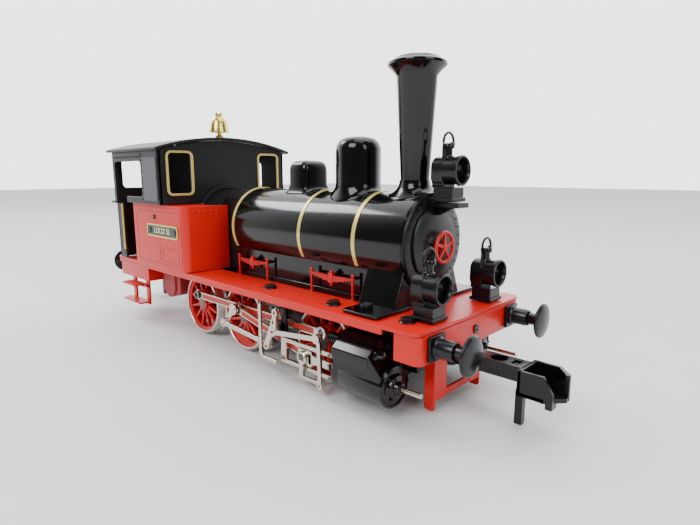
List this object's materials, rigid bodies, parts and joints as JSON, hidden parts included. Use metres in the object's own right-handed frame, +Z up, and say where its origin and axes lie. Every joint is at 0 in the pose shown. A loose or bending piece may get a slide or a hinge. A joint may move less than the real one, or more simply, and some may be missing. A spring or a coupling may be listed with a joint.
{
  "type": "model steam locomotive",
  "caption": "Gauge 1 model of a small six-coupled side-tank steam locomotive with turning wheels, side rods, valve gear, sprung buffers and swinging couplers.",
  "frame": {"origin": "middle of the engine at the bottom of the wheel flanges", "axes": "+X towards the chimney end along the engine, +Y to the engine's left, +Z up"},
  "size_m": [0.3084, 0.088, 0.1328],
  "materials": {
    "red_paint": "gloss",
    "gloss_black": "gloss",
    "satin_black": "satin",
    "nickel": "satin",
    "dark_steel": "satin",
    "brass": "polished",
    "red_plastic": "gloss",
    "black_plastic": "satin"
  },
  "bodies": {
    "chassis": {"running_board": "red_paint", "front_buffer_beam": "red_paint", "rear_buffer_beam": "red_paint", "guard_irons": "red_paint", "chassis_frame": "black_plastic", "motor": "dark_steel", "boiler_shell": "gloss_black", "smokebox_front": "gloss_black", "door_handwheel": "red_plastic", "chimney": "gloss_black", "steam_dome": "gloss_black", "sand_dome": "gloss_black", "cab_body": "satin_black", "cab_roof": "satin_black", "bell": "brass", "lantern_top": "black_plastic", "lantern_right": "black_plastic", "lantern_left": "black_plastic", "side_tank_right": "red_paint", "side_tank_left": "red_paint", "cylinder_right": "gloss_black", "cylinder_left": "gloss_black", "motion_bracket_right": "nickel", "motion_bracket_left": "nickel", "buffer_housing_front_right": "black_plastic", "buffer_housing_front_left": "black_plastic", "buffer_housing_rear_right": "black_plastic", "buffer_housing_rear_left": "black_plastic"},
    "wheelset_rear": {"axle_rear": "dark_steel", "wheel_rear_right": "red_plastic", "wheel_rear_left": "red_plastic"},
    "wheelset_middle": {"axle_middle": "dark_steel", "wheel_middle_right": "red_plastic", "wheel_middle_left": "red_plastic", "return_crank_right": "nickel", "return_crank_left": "nickel"},
    "wheelset_front": {"axle_front": "dark_steel", "wheel_front_right": "red_plastic", "wheel_front_left": "red_plastic"},
    "worm": {"worm_shaft": "brass"},
    "coupling_rod_right": {"coupling_rod_right": "nickel"},
    "connecting_rod_right": {"connecting_rod_right": "nickel"},
    "eccentric_rod_right": {"eccentric_rod_right": "nickel"},
    "crosshead_right": {"crosshead_right": "nickel"},
    "combination_lever_right": {"combination_lever_right": "nickel"},
    "expansion_link_right": {"expansion_link_right": "nickel"},
    "radius_rod_right": {"radius_rod_right": "nickel"},
    "coupling_rod_left": {"coupling_rod_left": "nickel"},
    "connecting_rod_left": {"connecting_rod_left": "nickel"},
    "eccentric_rod_left": {"eccentric_rod_left": "nickel"},
    "crosshead_left": {"crosshead_left": "nickel"},
    "combination_lever_left": {"combination_lever_left": "nickel"},
    "expansion_link_left": {"expansion_link_left": "nickel"},
    "radius_rod_left": {"radius_rod_left": "nickel"},
    "coupler_front": {"coupler_front": "black_plastic"},
    "buffer_plunger_front_right": {"buffer_plunger_front_right": "black_plastic"},
    "buffer_plunger_front_left": {"buffer_plunger_front_left": "black_plastic"},
    "coupler_rear": {"coupler_rear": "black_plastic"},
    "buffer_plunger_rear_right": {"buffer_plunger_rear_right": "black_plastic"},
    "buffer_plunger_rear_left": {"buffer_plunger_rear_left": "black_plastic"}
  },
  "joints": [
    {"name": "wheelset_middle_spin", "type": "hinge", "parent": "chassis", "child": "wheelset_middle", "pos_m": [0.0042, 0, 0.0177], "axis": [0, 1, 0], "continuous": true},
    {"name": "wheelset_rear_spin", "type": "hinge", "parent": "chassis", "child": "wheelset_rear", "pos_m": [-0.0354, 0, 0.0177], "axis": [0, 1, 0], "continuous": true},
    {"name": "wheelset_front_spin", "type": "hinge", "parent": "chassis", "child": "wheelset_front", "pos_m": [0.0622, 0, 0.0177], "axis": [0, 1, 0], "continuous": true},
    {"name": "worm_spin", "type": "hinge", "parent": "chassis", "child": "worm", "pos_m": [0.0042, 0, 0.0297], "axis": [1, 0, 0], "continuous": true},
    {"name": "coupling_rod_right_turn", "type": "hinge", "parent": "wheelset_middle", "child": "coupling_rod_right", "pos_m": [0.00583, -0.0285, 0.02379], "axis": [0, 1, 0], "continuous": true},
    {"name": "connecting_rod_right_turn", "type": "hinge", "parent": "wheelset_middle", "child": "connecting_rod_right", "pos_m": [0.00583, -0.0309, 0.02379], "axis": [0, 1, 0], "continuous": true},
    {"name": "eccentric_rod_right_turn", "type": "hinge", "parent": "wheelset_middle", "child": "eccentric_rod_right", "pos_m": [-0.00039, -0.03475, 0.0163], "axis": [0, 1, 0], "continuous": true},
    {"name": "crosshead_right_slide", "type": "slide", "parent": "chassis", "child": "crosshead_right", "axis": [1, 0, 0], "range_m": [-0.00703, 0.00559]},
    {"name": "combination_lever_right_swing", "type": "hinge", "parent": "chassis", "child": "combination_lever_right", "pos_m": [0.0705, -0.0366, 0.025], "axis": [0, 1, 0], "range_deg": [-16.3, 20.4]},
    {"name": "expansion_link_right_rock", "type": "hinge", "parent": "chassis", "child": "expansion_link_right", "pos_m": [0.041, -0.0366, 0.023], "axis": [0, 1, 0], "range_deg": [-10, 10]},
    {"name": "radius_rod_right_lift", "type": "hinge", "parent": "chassis", "child": "radius_rod_right", "pos_m": [0.0705, -0.038, 0.025], "axis": [0, 1, 0], "range_deg": [-4, 4]},
    {"name": "coupling_rod_left_turn", "type": "hinge", "parent": "wheelset_middle", "child": "coupling_rod_left", "pos_m": [0.01029, 0.0285, 0.01607], "axis": [0, 1, 0], "continuous": true},
    {"name": "connecting_rod_left_turn", "type": "hinge", "parent": "wheelset_middle", "child": "connecting_rod_left", "pos_m": [0.01029, 0.0309, 0.01607], "axis": [0, 1, 0], "continuous": true},
    {"name": "eccentric_rod_left_turn", "type": "hinge", "parent": "wheelset_middle", "child": "eccentric_rod_left", "pos_m": [0.0028, 0.03475, 0.02229], "axis": [0, 1, 0], "continuous": true},
    {"name": "crosshead_left_slide", "type": "slide", "parent": "chassis", "child": "crosshead_left", "axis": [1, 0, 0], "range_m": [-0.0125, 0.00011]},
    {"name": "combination_lever_left_swing", "type": "hinge", "parent": "chassis", "child": "combination_lever_left", "pos_m": [0.0705, 0.0366, 0.025], "axis": [0, 1, 0], "range_deg": [-0.6, 36.1]},
    {"name": "expansion_link_left_rock", "type": "hinge", "parent": "chassis", "child": "expansion_link_left", "pos_m": [0.041, 0.0366, 0.023], "axis": [0, 1, 0], "range_deg": [-10, 10]},
    {"name": "radius_rod_left_lift", "type": "hinge", "parent": "chassis", "child": "radius_rod_left", "pos_m": [0.0705, 0.038, 0.025], "axis": [0, 1, 0], "range_deg": [-4, 4]},
    {"name": "coupler_front_swing", "type": "hinge", "parent": "chassis", "child": "coupler_front", "pos_m": [0.108, 0, 0.0193], "axis": [0, 0, 1], "range_deg": [-15, 15]},
    {"name": "buffer_plunger_front_right_press", "type": "slide", "parent": "chassis", "child": "buffer_plunger_front_right", "axis": [-1, 0, 0], "range_m": [0, 0.003], "stiffness_N_per_m": 300, "springref_m": -0.0005},
    {"name": "buffer_plunger_front_left_press", "type": "slide", "parent": "chassis", "child": "buffer_plunger_front_left", "axis": [-1, 0, 0], "range_m": [0, 0.003], "stiffness_N_per_m": 300, "springref_m": -0.0005},
    {"name": "coupler_rear_swing", "type": "hinge", "parent": "chassis", "child": "coupler_rear", "pos_m": [-0.108, 0, 0.0193], "axis": [0, 0, 1], "range_deg": [-15, 15]},
    {"name": "buffer_plunger_rear_right_press", "type": "slide", "parent": "chassis", "child": "buffer_plunger_rear_right", "axis": [1, 0, 0], "range_m": [0, 0.003], "stiffness_N_per_m": 300, "springref_m": -0.0005},
    {"name": "buffer_plunger_rear_left_press", "type": "slide", "parent": "chassis", "child": "buffer_plunger_rear_left", "axis": [1, 0, 0], "range_m": [0, 0.003], "stiffness_N_per_m": 300, "springref_m": -0.0005}
  ],
  "couplings": [
    {"joint": "wheelset_rear_spin", "follows": "wheelset_middle_spin", "ratio": 1},
    {"joint": "wheelset_front_spin", "follows": "wheelset_middle_spin", "ratio": 1},
    {"joint": "worm_spin", "follows": "wheelset_middle_spin", "ratio": -20},
    {"joint": "coupling_rod_right_turn", "follows": "wheelset_middle_spin", "ratio": -1},
    {"joint": "connecting_rod_right_turn", "follows": "wheelset_middle_spin", "ratio": -1},
    {"joint": "eccentric_rod_right_turn", "follows": "wheelset_middle_spin", "ratio": -1},
    {"joint": "combination_lever_right_swing", "follows": "crosshead_right_slide", "rad_per_m": -50},
    {"joint": "coupling_rod_left_turn", "follows": "wheelset_middle_spin", "ratio": -1},
    {"joint": "connecting_rod_left_turn", "follows": "wheelset_middle_spin", "ratio": -1},
    {"joint": "eccentric_rod_left_turn", "follows": "wheelset_middle_spin", "ratio": -1},
    {"joint": "combination_lever_left_swing", "follows": "crosshead_left_slide", "rad_per_m": -50}
  ]
}
